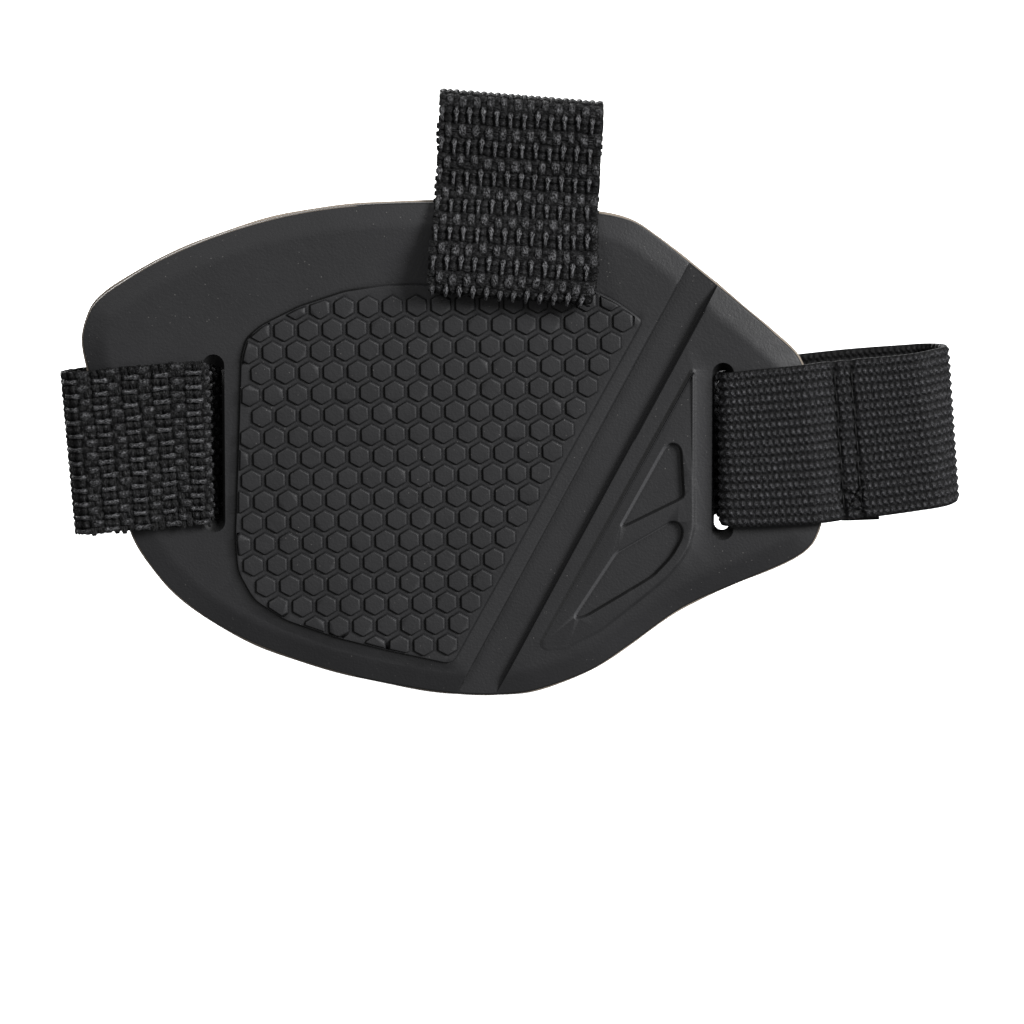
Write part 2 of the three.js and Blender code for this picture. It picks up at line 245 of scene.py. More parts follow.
# %% Rubber
def moulded_rubber(name, base, pale):
    """Matt rubber with mould grain, faint cloudiness and dust; painted shade where crown is below 1, a
    painted highlight above 1.
    """
    rubber = Finish(name, Specular_IOR_Level=0.34)
    cloud = rubber.ramp(rubber.noise(60.0, 3.0), [(0.35, 0.0), (0.7, 1.0)])
    skin = rubber.mix(cloud, base, pale)
    specks = rubber.node("ShaderNodeTexVoronoi", {}, {"Vector": rubber.place(), "Scale": 900.0}, "Distance")
    patches = rubber.ramp(rubber.noise(90.0, 1.0), [(0.46, 0.0), (0.6, 1.0)])
    dust = (0.085 - specks).above(0.0) * patches * 0.5
    crown = rubber.node("ShaderNodeAttribute", {"attribute_name": "crown"}, output="Fac")
    open_skin = rubber.mix(dust, skin, (0.12, 0.115, 0.11))
    # Above a crown of 1 the skin goes toward a paler grey: a painted highlight on edges that face the light.
    painted_highlight = (crown - 1.0).clamped()
    highlighted_skin = rubber.mix(painted_highlight, open_skin, (0.06, 0.06, 0.063))
    # Below a crown of 1 it goes toward near black: painted shade in grooves, slots and at the foot of walls.
    rubber.colour(rubber.mix(crown, (0.0015, 0.0015, 0.0016), highlighted_skin))
    grain = rubber.noise(2600.0, 2.0, 0.6)
    rubber.roughness(rubber.noise(500.0, 2.0) * 0.16 + 0.5)
    rubber.bump(grain, 0.00012, 0.45)
    return rubber.material


PAD_RUBBER = moulded_rubber("pad_rubber", (0.0125, 0.0125, 0.0135), (0.0150, 0.0150, 0.0162))
PAD_EDGE = moulded_rubber("pad_tan_edge", (0.26, 0.22, 0.18), (0.34, 0.29, 0.24))


# %% Yarns
def yarn(name, base, pale, rough, fibre_bump, specular, dive=1.6):
    """A filament yarn: pale streaks along its length, painted as highlights on its crowns, and painted shade
    where it dives into the cloth.
    """
    cloth = Finish(name, Specular_IOR_Level=specular)
    along = cloth.node("ShaderNodeUVMap", {"uv_map": "thread"})
    crown = cloth.node("ShaderNodeAttribute", {"attribute_name": "crown"}, output="Fac")
    fine = cloth.noise(1.0, 2.0, 0.6, at=along)
    streak = cloth.ramp(fine, [(0.44, 0.0), (0.62, 1.0)])
    painted_glint = cloth.ramp(cloth.noise(2600.0, 2.0, 0.6), [(0.50, 0.0), (0.66, 1.0)])
    # The pale share is painted highlight: streaks on the yarn's crowns and small glints; where the crown is
    # low the yarn stays dark, a painted shade.
    lit = (streak * (crown ** dive) + painted_glint * (crown * 0.5 + 0.10)).clamped()
    cloth.colour(cloth.mix(lit, base, pale))
    cloth.roughness(lit * -0.28 + rough)
    cloth.bump(fine, fibre_bump, 1.0)
    return cloth.material


WEBBING_YARN = yarn("webbing_yarn", (0.0012, 0.0012, 0.0014), (0.125, 0.125, 0.131), 0.62, 0.00040, 0.17, 2.0)
ELASTIC_YARN = yarn("elastic_yarn", (0.0012, 0.0012, 0.0014), (0.066, 0.066, 0.071), 0.62, 0.00014, 0.14, 2.3)
SEWING_THREAD = yarn("sewing_thread", (0.0015, 0.0015, 0.0017), (0.006, 0.006, 0.0065), 0.6, 0.00004, 0.2)


# %% Tapes
def napped(name, base, pale, rough):
    """Cloth whose surface breaks up into short fibres."""
    pile = Finish(name, Specular_IOR_Level=0.3, Sheen_Weight=0.12, Sheen_Roughness=0.5)
    tufts = pile.noise(1500.0, 3.0, 0.65)
    pile.colour(pile.mix(pile.ramp(tufts, [(0.35, 0.0), (0.7, 1.0)]), base, pale))
    pile.roughness(rough)
    pile.bump(tufts, 0.00025, 0.9)
    return pile.material


LOOP_PILE = napped("loop_pile", (0.007, 0.007, 0.0075), (0.018, 0.018, 0.019), 0.9)
HOOK_NYLON = napped("hook_nylon", (0.009, 0.009, 0.0095), (0.015, 0.015, 0.016), 0.5)

pale_floor = Finish("pale_floor", Specular_IOR_Level=0.1, Emission_Strength=0.45)
pale_floor.shader.inputs["Emission Color"].default_value = (1.0, 1.0, 1.0, 1.0)
pale_floor.colour(pale_floor.mix(pale_floor.noise(9.0, 2.0), (0.86, 0.86, 0.86), (0.88, 0.88, 0.88)))
pale_floor.roughness(0.9)

# %% [markdown]
# ## From lists of numbers to a mesh
# Yarns, stitches and the elastic are all tubes: rings of points joined by quads and capped. One helper
# makes those faces. The other makes a mesh from points in millimetres, gives it a thread map where it has
# one, and shades it smooth up to a chosen angle.


# %% Mesh helpers
def make_mesh(name, points, faces, finishes, sharp, thread=None, face_finish=None, crown=None):
    """A mesh object from points in millimetres.

    thread holds a map coordinate for each point, and crown a shading value: how far a yarn point stands out
    of the cloth, or on the pad painted shade below 1 and a painted highlight above 1.
    """
    mesh = bpy.data.meshes.new(name)
    mesh.from_pydata((np.asarray(points) * MM).tolist(), [], faces)
    for finish in finishes:
        mesh.materials.append(finish)
    if thread is not None:
        layer = mesh.uv_layers.new(name="thread")
        corners = np.zeros(len(mesh.loops), np.int32)
        mesh.loops.foreach_get("vertex_index", corners)
        layer.data.foreach_set("uv", np.asarray(thread, np.float32)[corners].ravel())
    if crown is not None:
        layer = mesh.attributes.new("crown", "FLOAT", "POINT")
        layer.data.foreach_set("value", np.clip(np.ravel(crown), 0, 2).astype(np.float32))
    if face_finish is not None:
        mesh.polygons.foreach_set("material_index", np.asarray(face_finish, np.int32))
    mesh.shade_smooth()
    mesh.set_sharp_from_angle(angle=math.radians(sharp))
    mesh.validate()
    return placed(name, mesh)


def tube_walls(stations, corners, start):
    """Quads between neighbouring rings of points, each ring closed on itself."""
    i, j = np.meshgrid(np.arange(stations - 1), np.arange(corners), indexing="ij")
    k = (j + 1) % corners
    quads = np.stack([i * corners + j, i * corners + k, (i + 1) * corners + k, (i + 1) * corners + j], -1)
    return (quads.reshape(-1, 4) + start).tolist()


def closed_tubes(rings):
    """Faces for tubes given as an array [tube, station, corner, xyz], with a cap on each end."""
    tubes, stations, corners = rings.shape[:3]
    faces = []
    for t in range(tubes):
        base = t * stations * corners
        faces += tube_walls(stations, corners, base)
        faces.append(list(range(base + corners - 1, base - 1, -1)))
        last = base + (stations - 1) * corners
        faces.append(list(range(last, last + corners)))
    return faces


def thread_map(u, v, shape):
    """A map coordinate for every point of an array of tubes: u round the thread and v along it."""
    return np.stack([np.broadcast_to(u, shape), np.broadcast_to(v, shape)], -1).reshape(-1, 2)


# %% [markdown]
# ## The moulded pad
# The pad could be a height map on a fine grid, but a grid leaves steps along every slanting edge. Here the
# mould's own lines are drawn instead: the outline, the bevel, the channel and each hexagon as closed
# rings, each with its height. One triangulation joins all rings, so every edge is crisp and no face is
# wasted. The rear face repeats the same triangles, flat.

# %% Pad dimensions, in millimetres
RIM = 1.0
FACE_LOW, FACE_HIGH = 2.15, 2.6          # main face at the pad's bottom and top
GRIP_FLOOR, GRIP_WEB, GRIP_TOP = 2.86, 2.94, 3.3
CHANNEL_FLOOR = 1.1
PLATEAU, WINDOW_FLOOR = 2.82, 2.0
HEX_PITCH, HEX_ROW, HEX_CORNER, HEX_TURN = 3.755, 3.335, 1.60, 1.0
SLOT_WIDTH, SLOT_LENGTH = 2.9, 27.4
FLASH, FLASH_THICKNESS = 0.24, 0.3       # the thin lip that the mould leaves round the rear edge
TAN_RIM_END = -15                        # left of this X the front strip of the rim is tan too

OUTLINE = [
    (-3, 38.6), (-13.4, 38.3), (-21.3, 37.4), (-28.5, 35.9), (-37.4, 33.1), (-45.2, 29.7), (-51.5, 26),
    (-54.5, 23.8), (-56.2, 21.7), (-57.4, 17.4), (-56.6, 12.7), (-53.4, 0), (-49.9, -13.3),
    (-45.5, -20.3), (-40.7, -24.9), (-34.4, -29), (-27.2, -32.2), (-17.1, -35.4), (-5.4, -37.8),
    (2.6, -38.7), (10.5, -38.5), (15.5, -37.3), (22, -34.7), (27.6, -31), (34.7, -25.8), (38.7, -23.6),
    (44.2, -21.2), (52.8, -17.5), (55.9, -15.3), (57.3, -12.5), (57.6, -9.6), (56.8, 2.7), (54.4, 13.6),
    (50.1, 18.2), (45, 22.6), (41, 25.9), (36.6, 29.5), (31.6, 33.4), (28.1, 35.6), (23.3, 36.8),
    (10.7, 38.3),
]
PLATFORM = [
    (-32.3, 15.7), (-32.6, 14.4), (-33.7, -14.1), (-33.3, -19), (-30.9, -23.4), (-26.1, -26.6),
    (-18.1, -29.4), (-10.2, -31.4), (0.0, -33.6), (29.5, 20.2), (29.0, 20.8), (25.7, 23.2),
    (22.1, 25), (-5.4, 25.9), (-10.2, 25.8), (-16.5, 24.9), (-23.7, 22.5), (-29.3, 19.7), (-31.7, 17.7),
]
TRIANGLE = [
    (37.3, 13.0), (13.6, -30.4), (14.4, -31.6), (18.0, -31.3), (23.7, -28.3), (27.9, -24.9), (31.5, -22.0),
    (33.7, -20.1), (35.8, -17.7), (37.4, -15.1), (38.1, -11.9), (38.0, -5.0), (38.0, 12.6),
]
WINDOWS = [
    [(33.0, 0.7), (26.2, -11.7), (26.7, -12.2), (36.0, -7.6), (36.35, -7.0), (36.1, -3.5), (35.9, 0.2),
     (35.2, 1.15), (34.1, 1.35)],
    [(25.5, -15.9), (19.0, -25.9), (19.3, -26.7), (21.1, -26.2), (27.9, -22.1), (31.5, -19.9), (34.4, -16.8),
     (36.0, -14.0), (36.2, -12.4), (35.4, -11.1), (34.1, -10.9)],
]
CHANNEL_LINE = np.array([[46.35, 41.1], [1.55, -42.7]])      # the channel's middle, past the outline
CHANNEL_HALF, CHANNEL_FOOT = 2.92, 2.62
SLOTS = [                            # centre, tilt, length, and how far the end walls lean in
    (-37.0, 1.1, 90.0, SLOT_LENGTH, 1.3), (42.2, -0.2, 90.0, SLOT_LENGTH, 0.9), (9.6, 27.7, -4.6, 25.6, 0.6),
]


# %% Drawing helpers for flat outlines
def smooth_ring(knots, count):
    """Evenly spaced points on a closed smooth curve through the knots."""
    p = np.array(knots, float)
    t = np.linspace(0, 1, 24, endpoint=False)[:, None]
    pieces = []
    for i in range(len(p)):
        a, b, c, d = p[i - 1], p[i], p[(i + 1) % len(p)], p[(i + 2) % len(p)]
        reach = np.linalg.norm(c - b)
        m1 = (c - a) / np.linalg.norm(c - a) * reach
        m2 = (d - b) / np.linalg.norm(d - b) * reach
        h00, h10 = 2 * t**3 - 3 * t**2 + 1, t**3 - 2 * t**2 + t
        h01, h11 = -2 * t**3 + 3 * t**2, t**3 - t**2
        pieces.append(h00 * b + h10 * m1 + h01 * c + h11 * m2)
    dense = np.vstack(pieces)
    closed = np.vstack([dense, dense[:1]])
    run = np.r_[0, np.cumsum(np.linalg.norm(np.diff(closed, axis=0), axis=1))]
    wanted = np.linspace(0, run[-1], count, endpoint=False)
    return np.stack([np.interp(wanted, run, closed[:, k]) for k in (0, 1)], -1)


def inset(ring, distance):
    """The ring drawn in by a distance; the ring runs anticlockwise. distance may differ by point."""
    after, before = np.roll(ring, -1, 0), np.roll(ring, 1, 0)
    d1, d2 = ring - before, after - ring
    d1 /= np.linalg.norm(d1, axis=1)[:, None]
    d2 /= np.linalg.norm(d2, axis=1)[:, None]
    n1, n2 = np.stack([-d1[:, 1], d1[:, 0]], -1), np.stack([-d2[:, 1], d2[:, 0]], -1)
    mitre = n1 + n2
    mitre /= np.maximum((mitre * n1).sum(1), 0.5)[:, None]
    return ring + mitre * np.broadcast_to(distance, len(ring))[:, None]


def rounded(points, radius, steps=4):
    """The polygon with each corner replaced by a short curve."""
    p = np.array(points, float)
    out = []
    for i in range(len(p)):
        into, away = p[i - 1] - p[i], p[(i + 1) % len(p)] - p[i]
        a = min(radius, 0.45 * np.linalg.norm(into)) / np.linalg.norm(into)
        b = min(radius, 0.45 * np.linalg.norm(away)) / np.linalg.norm(away)
        for t in np.linspace(0, 1, steps):
            out.append((1 - t) ** 2 * (p[i] + a * into) + 2 * t * (1 - t) * p[i] + t**2 * (p[i] + b * away))
    return np.array(out)


def clipped(ring, window):
    """The part of a convex ring inside a convex anticlockwise window."""
    kept = list(ring)
    for a, b in zip(window, np.roll(window, -1, 0)):
        side = [(b[0] - a[0]) * (p[1] - a[1]) - (b[1] - a[1]) * (p[0] - a[0]) for p in kept]
        fresh = []
        for i, p in enumerate(kept):
            q, s, t = kept[i - 1], side[i - 1], side[i]
            if (s < 0) != (t < 0):
                fresh.append(q + (p - q) * s / (s - t))
            if t >= 0:
                fresh.append(p)
        kept = fresh
        if len(kept) < 3:
            return None
    return np.array(kept)


def facing(ring, x, z):
    """How much each point of an anticlockwise ring faces a direction in the plane, from -1 to 1."""
    ahead = np.roll(ring, -1, 0) - np.roll(ring, 1, 0)
    ahead /= np.linalg.norm(ahead, axis=1)[:, None]
    return ahead[:, 1] * x - ahead[:, 0] * z


def area(ring):
    x, z = ring[:, 0], ring[:, 1]
    return 0.5 * np.sum(x * np.roll(z, -1) - z * np.roll(x, -1))


def slot_ring(x, z, tilt, length, grow=0.0):
    """A slot with round ends, as an anticlockwise ring."""
    r = SLOT_WIDTH / 2 + grow
    reach = length / 2 - SLOT_WIDTH / 2
    ends = [(reach + r * math.cos(a), r * math.sin(a)) for a in np.linspace(-math.pi / 2, math.pi / 2, 11)]
    ring = np.array(ends + [(-u, -v) for u, v in ends])
    c, s = math.cos(math.radians(tilt)), math.sin(math.radians(tilt))
    return ring @ np.array([[c, s], [-s, c]]) + (x, z)


outline = smooth_ring(OUTLINE, 300)
print("outline points:", len(outline), "area, mm2:", round(area(outline)))


# %% [markdown]
# The main face, the bevel and the channel are simple slopes, so their height is a formula: the smaller of
# what the bevel allows at that distance from the edge and what the channel allows at that distance from
# its middle line. A ring of this kind can cross another one, and the formula still gives its height.


# %% Heights of the main face
def distance_to(points, ring):
    a, b = ring, np.roll(ring, -1, 0)
    ab = b - a
    ap = points[:, None] - a[None]
    t = np.clip((ap * ab).sum(-1) / (ab * ab).sum(-1), 0, 1)
    return np.linalg.norm(ap - t[..., None] * ab, axis=-1).min(1)


def off_channel(points):
    """Signed distance from the channel's middle line, positive towards the right."""
    d = CHANNEL_LINE[0] - CHANNEL_LINE[1]
    d /= np.linalg.norm(d)
    r = points - CHANNEL_LINE[1]
    return r[:, 0] * d[1] - r[:, 1] * d[0]


BEVEL_AT = [0.0, 0.14, 0.3, 2.7, 3.4, 4.1]       # distances from the edge where its slope changes
BEVEL_CROWN = [0.4, 0.5, 1, 1, 1, 1]             # the rim is a little darker than the slope


def main_height(points):
    """Height of the bevelled, channelled face over the rear face."""
    points = np.asarray(points, float)
    edge = distance_to(points, outline)
    face = FACE_LOW + (FACE_HIGH - FACE_LOW) * (points[:, 1] + 38) / 76
    slope = np.interp(edge, BEVEL_AT, [0.0, 0.12, 0.17, 0.80, 0.95, 1.0])
    rim = RIM + 0.75 * np.clip((points[:, 1] - 6) / 24, 0, 1)
    rim = rim + 0.7 * np.clip((-34 - points[:, 0]) / 10, 0, 1) * np.clip((20 - points[:, 1]) / 20, 0, 1)
    bevel = rim - 0.12 + slope * (face - rim + 0.12)
    wall = np.interp(np.abs(off_channel(points)), [CHANNEL_FOOT, CHANNEL_HALF - 0.1, CHANNEL_HALF + 0.12],
                     [0, 0.9, 1.0])
    return np.minimum(bevel, CHANNEL_FLOOR + wall * (face - CHANNEL_FLOOR))


# %% Collect the pad's rings
class MouldRings:
    """Closed rings and open lines with heights, ready to triangulate."""

    def __init__(self):
        self.points, self.heights, self.crowns, self.edges = [], [], [], []

    def add(self, ring, height=None, closed=True, crown=1.0):
        start, n = len(self.points), len(ring)
        self.points += [tuple(map(float, p)) for p in ring]
        self.heights += [None] * n if height is None else np.broadcast_to(height, n).tolist()
        self.crowns += np.broadcast_to(crown, n).tolist()
        last = n if closed else n - 1
        self.edges += [(start + i, start + (i + 1) % n) for i in range(last)]


mould = MouldRings()


def nested(ring, *steps):
    """Adds a ring several times; each step says how far it is drawn in, its height and its crown."""
    for distance, height, crown in steps:
        mould.add(inset(ring, distance), height, crown=crown)


nested(outline, *((distance, None, crown) for distance, crown in zip(BEVEL_AT, BEVEL_CROWN)))

direction = CHANNEL_LINE[0] - CHANNEL_LINE[1]
direction /= np.linalg.norm(direction)
sideways = np.array([direction[1], -direction[0]])
for offset in (CHANNEL_FOOT - 0.15, CHANNEL_FOOT, CHANNEL_HALF - 0.1, CHANNEL_HALF + 0.12):
    for side in (-1, 1):
        line = CHANNEL_LINE + side * offset * sideways
        shade = 0.25 if (side, offset) == (-1, CHANNEL_FOOT) else 1.0
        mould.add(line[0] + (line[1] - line[0]) * np.linspace(0, 1, 90)[:, None], closed=False, crown=shade)

platform = np.array(PLATFORM, float)
smooth_platform = rounded(platform, 1.2)
foot = np.interp(smooth_platform[:, 1] - 0.6 * smooth_platform[:, 0], [-25, 30], [2.1, 0.9])
border_shade = np.where(smooth_platform[:, 0] < -12, 0.0, 0.9)         # painted shade: a dark line on the left, a faint one right
nested(smooth_platform, (-foot, None, 1.0), (-0.34, GRIP_WEB - 0.40, 0.75 + 0.25 * border_shade),
       (-0.12, GRIP_WEB - 0.46, border_shade), (0.02, GRIP_WEB - 0.06, border_shade), (0.12, GRIP_WEB, 1.0))

# %% [markdown]
# The grip is a honeycomb of small raised hexagons. Each could be a separate solid set on the pad, but the
# mould cuts them in one piece with it, so each is four rings: the web between hexagons, the groove's floor,
# the foot of the wall and the top. The platform's border clips them, and slivers are left out.

# %% Grip hexagons
# A crown of 0 at the groove's floor and the wall's foot paints shade into the grooves.
HEX_STEPS = (                        # corner radius, height, margin to the border, crown
    (HEX_CORNER + 0.42, GRIP_WEB, 0.12, 1.0), (HEX_CORNER + 0.20, GRIP_FLOOR, 0.2, 0.0),
    (HEX_CORNER + 0.06, GRIP_TOP - 0.12, 0.34, 0.0), (HEX_CORNER - 0.06, GRIP_TOP, 0.46, 1.0),
)
HEX_AREA = 2.6 * HEX_CORNER**2
HEX_FIRST, HEX_PIVOT, HEX_SHEAR = (-39.0, 22.1), (-28, 12), 0.0105
NEAR_CHANNEL = -9                    # closer to the channel than this, only nearly whole hexagons are kept
hex_turn = math.radians(HEX_TURN)
spin = np.array([[math.cos(hex_turn), math.sin(hex_turn)], [-math.sin(hex_turn), math.cos(hex_turn)]])
corner_angles = np.radians(90 + HEX_TURN + 60 * np.arange(6))
corners = np.stack([np.cos(corner_angles), np.sin(corner_angles)], -1)
hexagons = 0
for row in range(18):
    for column in range(20):
        centre = np.array([HEX_FIRST[0] + HEX_PITCH * (column + row % 2 / 2), HEX_FIRST[1] - HEX_ROW * row])
        centre = (centre - HEX_PIVOT) @ spin + HEX_PIVOT
        centre[1] += HEX_SHEAR * (centre[0] - HEX_PIVOT[0])
        rings = [clipped(rounded(centre + corners * size, 0.12, 3), inset(platform, margin))
                 for size, _, margin, _ in HEX_STEPS]
        share = 0.86 if off_channel(centre[None])[0] > NEAR_CHANNEL else 0.18
        if any(ring is None for ring in rings) or area(rings[3]) < share * HEX_AREA:
            continue
        for ring, (_, height, _, crown) in zip(rings, HEX_STEPS):
            # On the side facing the light the groove's painted shade is lighter; the side turned away keeps
            # the dark.
            lit_side = np.clip(0.45 + 0.75 * ((ring - centre) @ (0.92, 0.38)) / HEX_CORNER, 0, 0.9)
            mould.add(ring, height, crown=np.maximum(crown, lit_side))
        hexagons += 1

# %% [markdown]
# The triangle is a low plateau that fades into the face at its lower corner, with two windows sunk in it.
# Its edges are painted a little paler where they face the light, a painted highlight, and darker in the
# corner at their foot, a painted shade.

# %% Triangle, windows and slots
triangle = rounded(TRIANGLE, 0.8, 6)
to_light = facing(triangle, 0.98, 0.2)
fade = np.clip((triangle[:, 1] + 32.5) / 9, 0.12, 1)
base = main_height(triangle)
lift = base + (PLATEAU - base) * fade
# Painted shade at the foot of edges turned from the light, and a painted highlight on edges that face it.
shadow = np.clip(1 + 1.6 * np.minimum(to_light + 0.1, 0), 1 - fade, 1)
painted_highlight = 1 + 0.35 * np.clip((to_light - 0.6) / 0.3, 0, 1)
nested(triangle, (-0.12, None, painted_highlight), (0.02, base + 0.04, shadow),
       (0.36, base + 0.85 * (lift - base), shadow), (0.52, lift, painted_highlight), (0.72, lift, 1.0))
for window in WINDOWS:
    ring = rounded(window, 0.7, 6)
    to_light = -facing(ring, 0.9, -0.3)
    # Walls turned from the light get painted shade, and walls facing it a painted highlight.
    shade = np.clip(1 + 1.4 * np.minimum(to_light + 0.25, 0), 0.1, 1)
    painted_highlight = 0.8 * np.clip((to_light - 0.55) / 0.3, 0, 1)
    nested(ring, (-0.12, PLATEAU, 1.0), (0.05, PLATEAU - 0.10, shade + painted_highlight),
           (0.34, WINDOW_FLOOR + 0.03, shade + painted_highlight), (0.55, WINDOW_FLOOR, 1.0))
for x, z, tilt, length, lip in SLOTS:
    # The inner rings of each slot get a low crown: painted shade down inside the slot.
    mould.add(slot_ring(x, z, tilt, length, grow=0.28))
    mould.add(slot_ring(x, z, tilt, length, grow=0.10), 1.9, crown=0.05)
    mould.add(slot_ring(x, z, tilt, length - 2 * lip, grow=-0.22), 0.7, crown=0.0)
print("grip hexagons:", hexagons, "ring points:", len(mould.points))

# %% [markdown]
# The triangulation returns new points wherever two lines cross. A point that belongs to a ring keeps the
# ring's height, and a crossing takes the formula's. The walls are then stitched between the front and the
# rear along every open border, and the thin lip of flash that a two-part mould leaves runs round the rear
# edge.


# %% Triangulate and close the pad
def triangulated(rings, holes):
    flat = [Vector(p) for p in rings.points]
    points, _, faces, origins, _, _ = delaunay_2d_cdt(flat, rings.edges, [], 1, 1e-4)
    points = np.array([tuple(p) for p in points])
    heights, crowns = main_height(points), np.ones(len(points))
    for i, source in enumerate(origins):
        known = [rings.heights[k] for k in source if rings.heights[k] is not None]
        if known:
            heights[i] = max(known)
        if source:
            crowns[i] = min(rings.crowns[k] for k in source)
    faces = np.array([f for f in faces if len(f) == 3])
    middle = points[faces].mean(1)
    keep = np.ones(len(faces), bool)
    for x, z, tilt, length, lip in holes:
        c, s = math.cos(math.radians(tilt)), math.sin(math.radians(tilt))
        u = (middle[:, 0] - x) * c + (middle[:, 1] - z) * s
        v = -(middle[:, 0] - x) * s + (middle[:, 1] - z) * c
        reach = length / 2 - lip - SLOT_WIDTH / 2
        keep &= np.hypot(np.maximum(np.abs(u) - reach, 0), v) > SLOT_WIDTH / 2 - 0.24
    faces = faces[keep]
    used, faces = np.unique(faces, return_inverse=True)
    return points[used], heights[used], crowns[used], faces.reshape(-1, 3)


def border_loops(faces):
    """Closed loops of the edges that only one face has, in that face's direction."""
    edges = np.vstack([faces[:, [0, 1]], faces[:, [1, 2]], faces[:, [2, 0]]])
    seen = {(a, b) for a, b in edges.tolist()}
    following = {a: b for a, b in seen if (b, a) not in seen}
    loops = []
    while following:
        loop = [next(iter(following))]
        while loop[-1] in following:
            loop.append(following.pop(loop[-1]))
        loops.append(loop[:-1])
    return sorted(loops, key=len, reverse=True)


def build_pad():
    flat, heights, crowns, faces = triangulated(mould, SLOTS)
    n = len(flat)
    front = np.stack([flat[:, 0], -heights, flat[:, 1]], -1)
    rear = np.stack([flat[:, 0], np.zeros(n), flat[:, 1]], -1)
    points, crown = [front, rear], [crowns, np.ones(n)]
    total = 2 * n
    all_faces = faces.tolist() + (faces[:, ::-1] + n).tolist()
    middle = flat[faces].mean(1)
    tan_rim = (distance_to(middle, outline) < BEVEL_AT[1]) & (middle[:, 0] < TAN_RIM_END)
    finish = tan_rim.astype(int).tolist() + [0] * len(faces)
    for order, loop in enumerate(border_loops(faces)):
        loop = np.array(loop)
        following = np.roll(np.arange(len(loop)), -1)
        levels = [loop]
        ring = rear[loop].copy()
        ring[:, 1] = -FLASH_THICKNESS
        rings = [ring]
        if order == 0:
            tangent = np.roll(flat[loop], -1, 0) - np.roll(flat[loop], 1, 0)
            tangent /= np.linalg.norm(tangent, axis=1)[:, None]
            outward = np.stack([tangent[:, 1], -tangent[:, 0]], -1)
            wander = 1 + 0.35 * np.sin(np.arange(len(loop)) * 0.37) * np.sin(np.arange(len(loop)) * 0.11)
            outward = np.stack([outward[:, 0], 0 * wander, outward[:, 1]], -1)
            ledge = ring + outward * (FLASH * wander)[:, None]
            rings.append(ledge)
            rear[loop, 0], rear[loop, 2] = ledge[:, 0], ledge[:, 2]
        for ring in rings:
            points.append(ring)
            # Walls round the slots get a crown of 0, painted shade; the outer walls keep 1.
            crown.append(np.full(len(loop), 1.0 if order == 0 else 0.0))
            levels.append(total + np.arange(len(loop)))
            total += len(loop)
        levels.append(loop + n)
        for step, (upper, lower) in enumerate(zip(levels, levels[1:])):
            shade = 1 if order == 0 and step > 0 else 0
            walls = np.stack([upper[following], upper, lower, lower[following]], -1)
            all_faces += walls.tolist()
            finish += [shade] * len(walls)
    return make_mesh("shield_pad_moulding", np.vstack(points), all_faces, [PAD_RUBBER, PAD_EDGE],
                     sharp=50.0, face_finish=finish, crown=np.concatenate(crown))


pad = build_pad()
weighted = pad.modifiers.new("even_shading", "WEIGHTED_NORMAL")
weighted.keep_sharp = True
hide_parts("shield_pad")
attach(pad, "shield")
print("pad:", len(pad.data.vertices), "points,", len(pad.data.polygons), "faces")

# %% [markdown]
# ## Routes for the bands
# A band is flat and limp across its thickness and stiff across its width, so its shape is one line in a
# plane. Each route is a chain of straight runs and round bends, and a point of the band is given by how far
# along it lies, how far across, and how far out from the middle of its thickness. The two long bands
# also climb a little towards their ends, which one rise curve gives.


# %% Routes
class Route:
    """The middle line of a band in a plane, with a way to lay points on it."""

    def __init__(self, corners, frame_of, soften=0.5, face=1):
        line = [np.array(corners[0][:2], float)]
        for i in range(1, len(corners) - 1):
            here, radius = np.array(corners[i][:2], float), corners[i][2]
            into = here - np.array(corners[i - 1][:2], float)
            out = np.array(corners[i + 1][:2], float) - here
            into, out = into / np.linalg.norm(into), out / np.linalg.norm(out)
            turn = math.atan2(into[0] * out[1] - into[1] * out[0], into @ out)
            reach = radius * math.tan(abs(turn) / 2)
            centre = here - reach * into + radius * math.copysign(1, turn) * np.array([-into[1], into[0]])
            arm = here - reach * into - centre
            for a in np.linspace(0, turn, max(3, int(abs(turn) * radius / 0.15))):
                c, s = math.cos(a), math.sin(a)
                line.append(centre + np.array([c * arm[0] - s * arm[1], s * arm[0] + c * arm[1]]))
        line.append(np.array(corners[-1][:2], float))
        line = np.array(line)
        run = np.r_[0, np.cumsum(np.linalg.norm(np.diff(line, axis=0), axis=1))]
        self.length = run[-1]
        self.s = np.arange(0, self.length + 0.05, 0.1)
        self.middle = np.stack([np.interp(self.s, run, line[:, k]) for k in (0, 1)], -1)
        self._soften(soften)
        along = np.gradient(self.middle, axis=0)
        self.along = along / np.linalg.norm(along, axis=1)[:, None]
        self.frame_of = frame_of
        self.face = face                 # which side of the band shows the long floats
        self.calm = -100.0               # where a sharp fold pulls the floats flat
        self.waist, self.heads = 0.72, ((-0.2, 0.34), (0.2, 0.34))      # a float's width along its length

    def _soften(self, sigma):
        reach = int(3 * sigma / 0.1)
        kernel = np.exp(-0.5 * (np.arange(-reach, reach + 1) * 0.1 / sigma) ** 2)
        kernel /= kernel.sum()
        first = 2 * self.middle[0] - self.middle[reach:0:-1]
        last = 2 * self.middle[-1] - self.middle[-2:-reach - 2:-1]
        padded = np.vstack([first, self.middle, last])
        self.middle = np.stack([np.convolve(padded[:, k], kernel, "valid") for k in (0, 1)], -1)

    def lay(self, s, across, out):
        """Points in millimetres for arrays of distance along, across and outwards."""
        at = [np.interp(s, self.s, column) for column in (*self.middle.T, *self.along.T)]
        a = at[0] + out * at[3]
        b = at[1] - out * at[2]
        return self.frame_of(a, b, across)

    def nearest(self, a, b, after=0.0):
        """How far along the route its first close approach to a point lies."""
        gap = np.linalg.norm(self.middle - (a, b), axis=1)
        gap[self.s < after] = 1e6
        return self.s[np.argmin(gap)]


